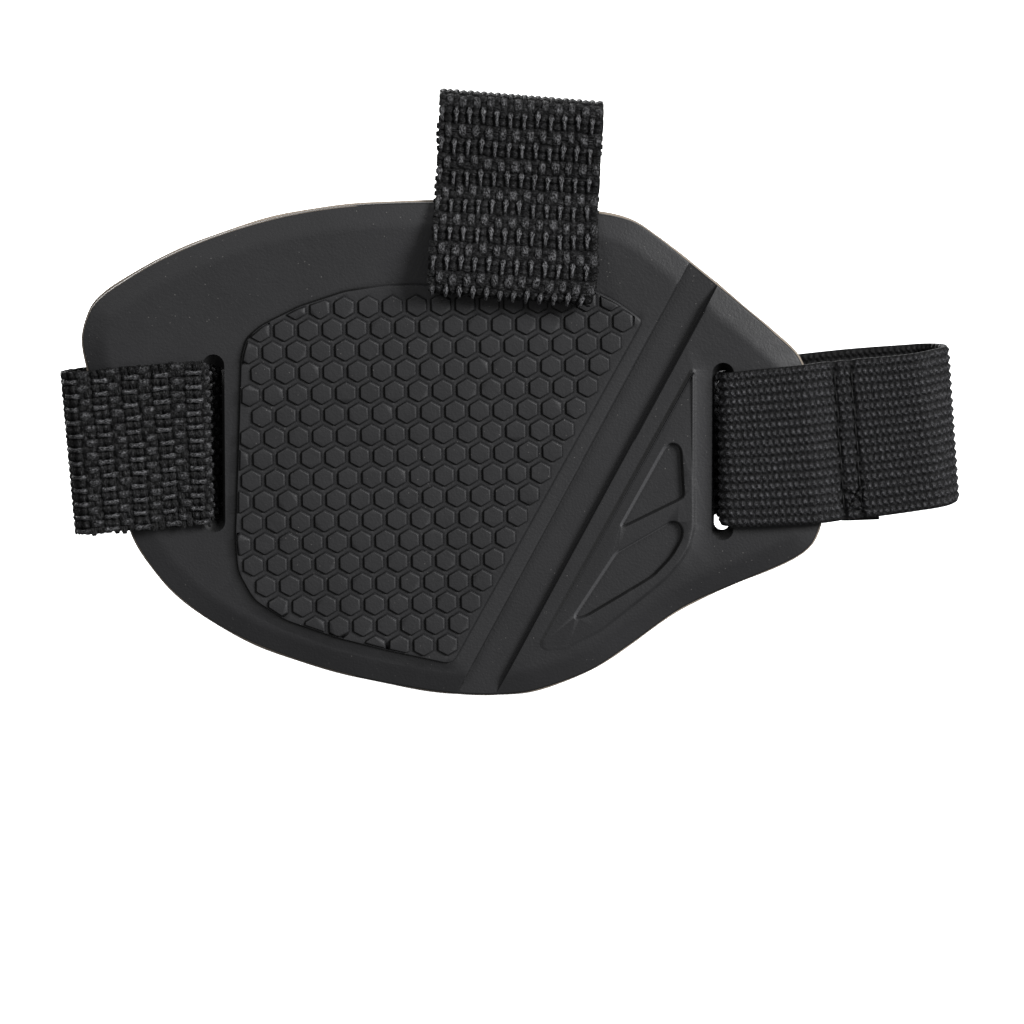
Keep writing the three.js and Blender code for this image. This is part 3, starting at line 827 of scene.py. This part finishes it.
RISE_X = [-64, -59, -50, -41, -33, 43, 54, 61, 66, 72.5, 76, 80]
RISE_FRONT = [-0.9, -0.5, 0.3, 1.15, 1.3, 0.2, 0.95, 1.6, 2.1, 2.85, 3.4, 4.1]
RISE_BACK = [-0.9, -0.5, 0.2, 0.3, 0.2, 0.9, 1.6, 2.4, 2.9, 3.3, 3.6, 4.0]
rise_x = np.arange(-64, 80.1, 0.5)


def eased(values):
    line = np.interp(rise_x, RISE_X, values)
    return np.convolve(np.pad(line, 8, "edge"), np.ones(17) / 17, "valid")


rise_front, rise_back = eased(RISE_FRONT), eased(RISE_BACK)
slope_front, slope_back = np.gradient(rise_front, rise_x), np.gradient(rise_back, rise_x)


def strap_frame(a, b, across):
    """Strap routes are drawn from above: a is X, b is Y, and the band's width stands along Z."""
    x, y, w = np.broadcast_arrays(a, b, across)
    behind = np.clip((y + 2) / 10, 0, 1)
    slope = np.interp(x, rise_x, slope_front) * (1 - behind) + np.interp(x, rise_x, slope_back) * behind
    rise = np.interp(x, rise_x, rise_front) * (1 - behind) + np.interp(x, rise_x, rise_back) * behind
    under = np.clip((y + 1.9) / 0.8, 0, 1) * np.clip((3 - y) / 1.0, 0, 1) * ((x > 0) & (x < 67))
    squeeze = 1 - 0.035 * np.exp(-((x + 37.8) / 1.5) ** 2) * (np.abs(y) < 3)
    w = w * squeeze
    return np.stack([x - w * slope * np.where(x > 0, 0.85, 1.0), y, w + rise * (1 - 0.6 * under)], -1)


TAB_X, TAB_Z, TAB_TILT = 10.0, 27.7, math.radians(-4.6)


def tab_frame(a, b, across):
    """Tab routes are drawn from the side: a is depth, b is height up the tab."""
    u = across * np.interp(b, [-4, 1, 12, 27], [0.985, 1.02, 0.99, 0.996])
    u = u - 0.035 * (b + 4) + np.interp(b, [-4, 1, 10, 27], [-0.75, -0.3, -0.3, -0.2])
    c, s = math.cos(TAB_TILT), math.sin(TAB_TILT)
    return np.stack([TAB_X + u * c - b * s, a + 0 * u, TAB_Z + u * s + b * c], -1)


elastic_route = Route([
    (65.7, -0.5), (60.4, -0.5, 1.2), (58.6, 0.95, 1.2), (42.1, 0.95, 1.0), (42.1, -3.5, 1.0),
    (56, -3.5, 2.0), (59.6, -2.25, 2.0), (78.0, -2.25, 5.15), (78.0, 8.2, 5.15), (47, 8.2),
], strap_frame)
webbing_route = Route([
    (53, 9.7), (-37.8, 9.7, 5.0), (-37.8, -3.5, 0.8), (-59.6, -3.5, 2.4), (-59.6, 1.5, 2.4),
    (-51, 1.5, 5.0), (-33, 14.2, 6.0), (48, 14.2),
], strap_frame, face=-1)
tab_route = Route([
    (4.8, 0.8), (4.8, 27.0, 2.75), (-0.85, 27.0, 2.75), (-0.85, 12.6, 6.0), (-4.0, 7.0, 6.0),
    (-6.1, 0.0, 6.0), (-6.5, -3.7, 0.95), (-4.4, -3.7, 0.95), (-4.4, 0.0, 0.9), (0.95, 0.0, 0.9),
    (0.85, 22.4),
], tab_frame, soften=0.4)
webbing_route.calm = webbing_route.nearest(-59.6, -1.0)
tab_route.calm = tab_route.nearest(2.0, 27.0)
tab_route.waist, tab_route.heads = 0.56, ((-0.15, 0.55),)
for name, route in (("elastic", elastic_route), ("webbing", webbing_route), ("tab", tab_route)):
    print(name, "cut length, mm:", round(route.length, 1))

# %% [markdown]
# ## Woven webbing
# Webbing is 24 thick warp yarns side by side, held by thin weft yarns that cross inside. Each warp yarn
# floats over the face, dives, and floats on the back; even yarns have the long floats and odd yarns the
# short ones, half a repeat later. A flat strip with a bump map would look right only from straight ahead,
# so the yarns are real tubes.

# %% Weave
WARPS, WARP_PITCH, REPEAT = 24, 1.06, 4.7
FLOAT_YARN = (0.46, 0.27, 0.44)         # half width, half height and swing of an even warp yarn
GROUND_YARN = (0.66, 0.25, 0.32)        # the same of an odd one
WEFT_STEP = REPEAT / 4
WEFT_YARN = (0.60, 0.22)                # half width and half height of a weft yarn
STATION = 0.34                          # distance between the rings of a warp tube
dice = np.random.default_rng(20)
warp_shift = dice.normal(0, 0.10, WARPS)
warp_fat = 1 + dice.normal(0, 0.05, WARPS)
warp_phase = dice.uniform(0, TAU, (WARPS, 3))


def warp_swing(s, index):
    """Height of a warp yarn over the middle of the webbing, from -1 to 1."""
    even = index % 2 == 0
    shift = np.where(even, 0.0, REPEAT / 2) + warp_shift[index]
    bias = np.where(even, 0.22, -0.22)
    wave = np.cos(TAU * (s - shift) / REPEAT + 0.35 * np.sin(TAU * s / 31 + warp_phase[index, 0]))
    return np.tanh(2.1 * (wave + bias)) / 0.97


def woven_band(name, route, start, end):
    """A stretch of webbing between two distances along its route."""
    s = np.linspace(start, end, max(4, int(round((end - start) / STATION)) + 1))
    index = np.arange(WARPS)
    grid_s, grid_i = np.meshgrid(s, index, indexing="xy")
    swing = warp_swing(grid_s, grid_i)
    centre = (grid_i - (WARPS - 1) / 2) * WARP_PITCH
    centre = centre + 0.07 * np.sin(TAU * grid_s / 9 + warp_phase[grid_i, 1])
    edge = np.abs(grid_i - (WARPS - 1) / 2) > WARPS / 2 - 1
    sizes = np.where(grid_i[..., None] % 2 == 0, FLOAT_YARN, GROUND_YARN)
    half_width, half_height, travel = np.moveaxis(sizes, -1, 0)
    calm = 1 - 0.6 * np.exp(-((grid_s - route.calm) / 2.6) ** 2)
    out = route.face * travel * swing * np.where(edge, 0.75, 1.0) * calm
    turn = np.linspace(0, TAU, 8, endpoint=False) - math.pi / 2
    phase = (grid_s - warp_shift[grid_i]) / REPEAT
    phase = phase - np.round(phase)
    keyhole = route.waist + sum(fat * np.exp(-((phase - at) / 0.075) ** 2) for at, fat in route.heads)
    on_top = (grid_i % 2 == 0) * np.clip((0.34 - np.abs(phase)) / 0.06, 0, 1)
    wide = half_width * warp_fat[grid_i] * (0.88 + 0.12 * np.abs(swing)) * (1 + (keyhole - 1) * on_top)
    across = centre[..., None] + wide[..., None] * np.cos(turn)
    height = out[..., None] + half_height[..., None] * np.sin(turn)
    warp = route.lay(grid_s[..., None] + 0 * across, across, height)
    warp_thread = thread_map(turn * 2.0 + 9 * grid_i[..., None], grid_s[..., None] * 2.2, across.shape)

    first, last = math.ceil(start / WEFT_STEP - 0.5), math.ceil(end / WEFT_STEP - 0.5)
    weft_s = (np.arange(first, last) + 0.5) * WEFT_STEP
    half = (WARPS - 1) / 2 * WARP_PITCH + 0.52
    w = np.linspace(-half, half, 49)
    centres = (index - (WARPS - 1) / 2) * WARP_PITCH
    swings = warp_swing(weft_s[:, None], index[None, :])
    weft_out = np.array([np.interp(w, centres, -0.26 * route.face * row) for row in swings])
    turn6 = np.linspace(0, TAU, 6, endpoint=False)
    taper = np.sqrt(np.clip(1 - (np.abs(w) / (half + 0.12)) ** 30, 0.08, 1))[None, :, None]
    along = weft_s[:, None, None] + WEFT_YARN[0] * taper * np.cos(turn6)
    rise = weft_out[:, :, None] + WEFT_YARN[1] * taper * np.sin(turn6)
    loops = dice.uniform(-0.008, 0.03, len(weft_s)) * (1 - np.exp(-((weft_s - route.calm) / 3.5) ** 2))
    stretch = 1 + loops[:, None, None]
    weft = route.lay(along, w[None, :, None] * stretch + 0 * along, rise)
    weft_thread = thread_map(turn6 * 2.0, w[None, :, None] * 1.3, along.shape)

    faces = closed_tubes(warp) + [[k + warp.size // 3 for k in face] for face in closed_tubes(weft)]
    points = np.vstack([warp.reshape(-1, 3), weft.reshape(-1, 3)])
    # crown is how far each point stands out; the yarn finish paints shade where it is low and highlights
    # where it is high.
    crown = np.concatenate([(np.abs(height).ravel() - 0.20) / 0.44, (np.abs(rise).ravel() - 0.30) / 0.5])
    return make_mesh(name, points, faces, [WEBBING_YARN], sharp=60.0,
                     thread=np.vstack([warp_thread, weft_thread]), crown=np.clip(crown, 0, 1))


def settle(piece, nodes, body=None, bend=None):
    """Hides the CAD nodes a piece stands for and parents it to the body it moves with; a piece given a bend
    is only baked in place.
    """
    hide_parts(*nodes)
    if bend:
        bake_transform(piece)
    else:
        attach(piece, body)
    print(f"{piece.name}: {len(piece.data.vertices)} points")
    return piece


def at_mm(x, y, z=0.0):
    return (x * MM, y * MM, z * MM)


# %% [markdown]
# The strap is one length of webbing: behind the pad, up through the left slot, over the left bar, round the
# edge and back. It could be one mesh, but its stretches move with different bodies, so it is cut where the
# bodies meet, and the stretches between two bodies are left unparented.

# %% Strap webbing
cut_pass = webbing_route.nearest(-27, 9.7)
cut_slot = webbing_route.nearest(-37.8, -0.8)
cut_fold = webbing_route.nearest(-55, -3.5)
cut_hook = webbing_route.nearest(-55, 1.5, after=cut_fold + 5)
STRAP = (                            # piece, CAD node, end of the stretch, and what it moves with
    ("back_run", "webbing_back_run", cut_pass, "back_run", None),
    ("slot_pass", "webbing_slot_pass", cut_slot, None,
     ("shield", "back_run", at_mm(-37, -0.6), at_mm(-29.5, 8.5))),
    ("over_bar", "webbing_bar_cover", cut_fold, "shield", None),
    ("edge_fold", "webbing_fold", cut_hook, None, ("shield", "back_run", at_mm(-57, -2.7), at_mm(-57, 0.7))),
    ("hook_end", "webbing_hook_end", webbing_route.length, None,
     ("back_run", "hook_end", at_mm(-55.2, 1.5), at_mm(-50.5, 1.5))),
)
start = 0
for piece, node, end, body, bend in STRAP:
    stretch = woven_band("strap_webbing_" + piece, webbing_route, start, end)
    settle(stretch, [node], body, bend)
    start = end

# %% [markdown]
# The tab is a shorter length of the same webbing. It is sewn to itself round the pad's top bar, stands up,
# and folds over at the top so that its end closes on the rear layer.

# %% Tab webbing
TAB_BEND_LOW, TAB_BEND_HIGH = 10.9, 14.1
FOLD_HEIGHT = 24.2                   # where the tab's flap starts to turn over
cut_flap = tab_route.nearest(4.8, FOLD_HEIGHT)
cut_top = tab_route.nearest(-0.85, FOLD_HEIGHT)
cut_high = tab_route.nearest(-0.85, TAB_BEND_HIGH)
cut_low = tab_route.nearest(-2.0, TAB_BEND_LOW)
cut_rear_low = tab_route.nearest(0.9, TAB_BEND_LOW, after=cut_low + 10)
cut_rear_high = tab_route.nearest(0.9, TAB_BEND_HIGH, after=cut_low + 10)


def tab_point(depth, height):
    return tuple(float(v) * MM for v in tab_frame(np.array(depth), np.array(height), np.array(0.0)))


tab_bend = ("shield", "tab", tab_point(0, TAB_BEND_LOW + 0.1), tab_point(0, TAB_BEND_HIGH - 0.1))
flap_bend = ("tab", "flap", tab_point(0.0, FOLD_HEIGHT), tab_point(4.0, FOLD_HEIGHT))
TAB = (                              # piece, CAD node, its two ends, and what it moves with
    ("flap", "tab_flap", 0, cut_flap, "flap", None),
    ("top_fold", "tab_top_fold", cut_flap, cut_top, None, flap_bend),
    ("front_layer", "tab_front_layer", cut_top, cut_high, "tab", None),
    ("bend_front", "tab_bend", cut_high, cut_low, None, tab_bend),
    ("bend_rear", "tab_bend", cut_rear_low, cut_rear_high, None, tab_bend),
    ("round_bar", "tab_bar_wrap", cut_low, cut_rear_low, "shield", None),
    ("rear_layer", "tab_rear_layer", cut_rear_high, tab_route.length, "tab", None),
)
for piece, node, start, end, body, bend in TAB:
    settle(woven_band("tab_webbing_" + piece, tab_route, start, end), [node], body, bend)

# %% [markdown]
# ## Ribbed elastic
# The elastic has rubber strands inside lengthwise ribs, and textured yarn wraps each rib in small slanting
# stitches. The surface has no gaps that show through, so it is one closed skin whose height follows the
# ribs and the stitches. Where the two lines of sewing cross it, the skin is pulled in.

# %% Elastic skin
ELASTIC_THICK = 1.25
RIBS, STITCH = 18, 0.94
seam_inner = elastic_route.nearest(60.3, -2.3, after=30)
seam_outer = elastic_route.nearest(63.0, -2.25, after=30)


def elastic_half_width(s):
    """Half the elastic's width: a little less past the sewing, and pinched at each line of it."""
    half = np.interp(s, [seam_inner - 19, seam_inner - 13, seam_inner - 3, seam_outer + 1, seam_outer + 9,
                         seam_outer + 17, seam_outer + 30], [11.95, 12.25, 12.5, 12.45, 12.2, 12.1, 12.1])
    pinch = sum(0.14 * np.exp(-((s - seam) / 0.7) ** 2) for seam in (seam_inner, seam_outer))
    return half - pinch


def elastic_relief(s, share, side):
    """Height of the skin over the middle of the elastic; share runs from -1 to 1 across it."""
    rib = (share + 1) / 2 * RIBS
    number = np.floor(rib)
    within = rib - number - 0.5
    crown = (0.5 + 0.5 * np.cos(TAU * within)) ** 0.7
    beads = 0.5 + 0.5 * np.cos(TAU * (s / STITCH + 0.17 * number + 0.25 * side))
    upper = np.clip(0.5 + 5.0 * (within + 0.12), 0, 1)
    stitch = upper * beads + (1 - upper) * (1 - beads) * 0.85
    skin = ELASTIC_THICK / 2 + 0.06 - 0.34 * (1 - crown) - 0.30 * (1 - stitch) * (0.35 + 0.65 * crown)
    edge = np.clip((1 - np.abs(share)) * 14, 0, 1)
    skin = 0.25 + (skin - 0.25) * np.sqrt(edge)
    for seam in (seam_inner, seam_outer):
        skin = skin - 0.26 * np.exp(-((s - seam) / 0.42) ** 2)
    return np.maximum(skin, 0.12)


def elastic_band(name, start, end):
    s = np.linspace(start, end, int(round((end - start) / (STITCH / 6))) + 1)
    share = np.linspace(-1, 1, RIBS * 6 + 1)
    grid_s, grid_w = np.meshgrid(s, share, indexing="ij")
    half = elastic_half_width(grid_s)
    outer = elastic_relief(grid_s, grid_w, 1)
    inner = -elastic_relief(grid_s, grid_w, -1)
    ring_s = np.concatenate([grid_s, grid_s], 1)
    ring_w = np.concatenate([grid_w * half, (grid_w * half)[:, ::-1]], 1)
    ring_h = np.concatenate([outer, inner[:, ::-1]], 1)
    skin = elastic_route.lay(ring_s, ring_w, ring_h)[None]
    thread = np.stack([ring_w * 6.0, ring_s * 6.0], -1).reshape(-1, 2)
    faces = closed_tubes(skin[:, :, ::-1])
    # crown is how far each point stands out; the yarn finish paints shade where it is low and highlights
    # where it is high.
    crown = np.clip((np.abs(ring_h[:, ::-1]) - 0.24) / 0.40, 0, 1)
    crown[:, :len(share)] *= 0.15        # the inner face is the flatter back of the knit, and is painted darker as shade
    thread = thread.reshape(len(s), -1, 2)[:, ::-1].reshape(-1, 2)
    return make_mesh(name, skin[:, :, ::-1].reshape(-1, 3), faces, [ELASTIC_YARN],
                     sharp=70.0, thread=thread, crown=crown)


cut_turn = elastic_route.nearest(66.15, -2.25, after=30)
cut_run = elastic_route.nearest(66.15, 8.2)
settle(elastic_band("elastic_round_bar", 0, cut_turn), ["elastic_bar_wrap"], "shield")
settle(elastic_band("elastic_side_turn", cut_turn, cut_run), ["elastic_turn"],
       bend=("shield", "back_run", at_mm(66, -1.4), at_mm(66, 7.4)))
settle(elastic_band("elastic_rear_run", cut_run, elastic_route.length),
       ["elastic_back_run"], "back_run")

# %% [markdown]
# ## Sewing
# A lockstitch shows on the cloth as short lengths of thread whose ends go down through it. Each stitch is a
# thin rod with sunken ends. Seams run either across a band or along its edges, and one helper makes both.


# %% Stitches
def stitched(name, route, first, last, out, pitch=2.7, radius=0.17):
    """A line of stitches from (along, across) to (along, across), at a height out of the band."""
    first, last = np.array(first, float), np.array(last, float)
    run = np.linalg.norm(last - first)
    count = max(1, int(run / pitch))
    ahead = (last - first) / run
    side = np.array([-ahead[1], ahead[0]])
    t = np.linspace(-1, 1, 9)
    turn = np.linspace(0, TAU, 8, endpoint=False)
    start = (np.arange(count) + 0.5) * run / count
    travel = start[:, None] + t * (run / count / 2 - 0.12)
    waver = dice.normal(0, 0.05, (count, 1))
    thick = radius * np.sqrt(1 - (0.97 * t) ** 8)
    sideways = waver[..., None] + (thick[:, None] * np.cos(turn))[None]
    lift = out - math.copysign(0.28, out) * (t**4)[:, None] + thick[:, None] * np.sin(turn)
    along = first[0] + travel[..., None] * ahead[0] + sideways * side[0]
    across = first[1] + travel[..., None] * ahead[1] + sideways * side[1]
    rods = route.lay(along, across, np.broadcast_to(lift[None], along.shape))
    twist = thread_map(turn * 2 + travel[..., None] * 3, travel[..., None] * 2, rods.shape[:3])
    crown = np.full(rods.shape[:3], 0.8)
    return make_mesh(name, rods.reshape(-1, 3), closed_tubes(rods), [SEWING_THREAD],
                     sharp=80.0, thread=twist, crown=crown)


def seam(node, body, *where, **how):
    return settle(stitched(node + "_stitches", *where, **how), [node], body)


seam("bar_seam_inner", "shield", elastic_route, (seam_inner, -10.9), (seam_inner, 10.9), 0.30, radius=0.13)
seam("bar_seam_outer", "shield", elastic_route, (seam_outer, -10.9), (seam_outer, 10.9), 0.30, radius=0.13)
for number, (low, high) in enumerate(((-11.3, -6.6), (-9.4, -11.5), (-7.2, -9.8))):
    knot = stitched(f"bar_seam_knot_{number + 1}", elastic_route, (seam_inner + 0.4, low),
                    (seam_outer + 0.9, high), 0.55, pitch=0.9, radius=0.22)
    settle(knot, ["bar_seam_outer"], "shield")
for node, x in (("joint_seam_inner", 48), ("joint_seam_outer", 51.8)):
    s = elastic_route.nearest(x, 8.2)
    seam(node, "back_run", elastic_route, (s, -11.2), (s, 11.2), -0.66)
for node, w in (("loop_tape_seam_top", 11.1), ("loop_tape_seam_bottom", -11.1)):
    seam(node, "back_run", webbing_route, (10.0, w), (82.0, w), -0.70)
hook_from = webbing_route.nearest(-14, 14.2, after=cut_hook)
hook_to = webbing_route.nearest(46.5, 14.2, after=cut_hook)
for node, w in (("hook_tape_seam_top", 11.1), ("hook_tape_seam_bottom", -11.1)):
    seam(node, "hook_end", webbing_route, (hook_from, w), (hook_to, w), -0.70)
for node, height in (("tab_seam_low", 15.1), ("tab_seam_high", 21.2)):
    s = tab_route.nearest(-0.85, height)
    seam(node, "tab", tab_route, (s, -11.7), (s, 11.7), 0.30)

# %% [markdown]
# ## Hook and loop
# The loop tape is a backing with thousands of soft loops, and the hook tape is a backing with rows of stiff
# little hooks. Both are made as a thin slab with the loops or hooks standing on it. Most of it hides
# between the layers at rest and comes into view when the strap is peeled.


# %% Loops and hooks
def tape(name, route, start, end, half, base, face, finish, hooks, pitch):
    """A backing from base to face, with arcs on the face: springy loops, or hooks in straight rows."""
    s = np.linspace(start, end, max(3, int((end - start) / 1.0)))
    corner = np.array([(-half, base), (half, base), (half, face), (-half, face)])
    if face < base:
        corner = corner[::-1]
    ring_s, ring_w = np.meshgrid(s, corner[:, 0], indexing="ij")
    ring_h = np.broadcast_to(corner[:, 1], ring_s.shape)
    slab = route.lay(ring_s, ring_w, ring_h)[None]
    up = math.copysign(1, face - base)
    rows_s = np.arange(start + 0.6, end - 0.6, pitch[0])
    rows_w = np.arange(-half + 0.7, half - 0.69, pitch[1])
    place_s, place_w = [grid.ravel() for grid in np.meshgrid(rows_s, rows_w, indexing="ij")]
    count = len(place_s)
    if hooks:
        heading, size = np.full(count, math.pi / 2), np.full(count, 0.55)
        bow = [(-0.30, -0.1), (-0.30, 0.7), (-0.05, 1.0), (0.25, 0.9), (0.32, 0.55)]
    else:
        heading, size = dice.uniform(0, TAU, count), dice.uniform(0.35, 0.62, count)
        place_s = place_s + dice.normal(0, 0.22, count)
        place_w = place_w + dice.normal(0, 0.22, count)
        bow = [(-0.35, -0.1), (-0.62, 0.6), (0.0, 1.05), (0.62, 0.6), (0.35, -0.1)]
    bow = np.array(bow)
    turn = np.linspace(0, TAU, 3, endpoint=False)
    thick = 0.075 if hooks else 0.055
    reach = bow[None, :, 0] * size[:, None]
    rise = face + up * bow[None, :, 1] * size[:, None]
    aside = thick * np.cos(turn)
    c, d = np.cos(heading)[:, None, None], np.sin(heading)[:, None, None]
    along = place_s[:, None, None] + reach[..., None] * c - aside * d
    across = place_w[:, None, None] + reach[..., None] * d + aside * c
    height = np.broadcast_to(rise[..., None] + thick * np.sin(turn), along.shape)
    arcs = route.lay(along, across, height)
    faces = closed_tubes(slab) + [[k + slab.size // 3 for k in f] for f in closed_tubes(arcs)]
    return make_mesh(name, np.vstack([slab.reshape(-1, 3), arcs.reshape(-1, 3)]), faces, [finish], sharp=60.0)


LOOPS = dict(finish=LOOP_PILE, hooks=False, pitch=(0.95, 0.95))
HOOKS = dict(finish=HOOK_NYLON, hooks=True, pitch=(1.0, 0.85))
settle(tape("strap_loop_tape", webbing_route, 0.3, cut_pass, 12.1, 0.75, 1.75, **LOOPS),
       ["loop_tape"], "back_run")
settle(tape("strap_hook_tape", webbing_route, hook_from - 1, hook_to + 1, 12.1, 0.75, 1.30, **HOOKS),
       ["hook_tape"], "hook_end")
rear_from = tab_route.nearest(0.9, 14.5, after=cut_low + 10)
rear_to = tab_route.nearest(0.9, 22.2, after=cut_low + 10)
settle(tape("tab_loop_patch_pile", tab_route, rear_from, rear_to, 12.0, 0.75, 1.55, **LOOPS),
       ["tab_loop_patch"], "tab")
flap_from, flap_to = tab_route.nearest(4.8, 14.5), tab_route.nearest(4.8, 22.2)
settle(tape("tab_hook_patch_hooks", tab_route, flap_from, flap_to, 12.0, -0.75, -1.25, **HOOKS),
       ["tab_hook_patch"], "flap")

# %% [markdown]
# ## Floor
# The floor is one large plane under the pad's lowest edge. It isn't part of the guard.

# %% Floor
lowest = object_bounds()[0][2]
floor_mesh = bpy.data.meshes.new("floor")
reach = 6.0
floor_mesh.from_pydata([(-reach, -reach, 0), (reach, -reach, 0), (reach, reach, 0), (-reach, reach, 0)],
                       [], [(0, 1, 2, 3)])
floor_mesh.materials.append(pale_floor.material)
floor = placed("floor", floor_mesh)
floor.location.z = lowest - 0.0002
floor.visible_diffuse = False
floor.visible_glossy = False
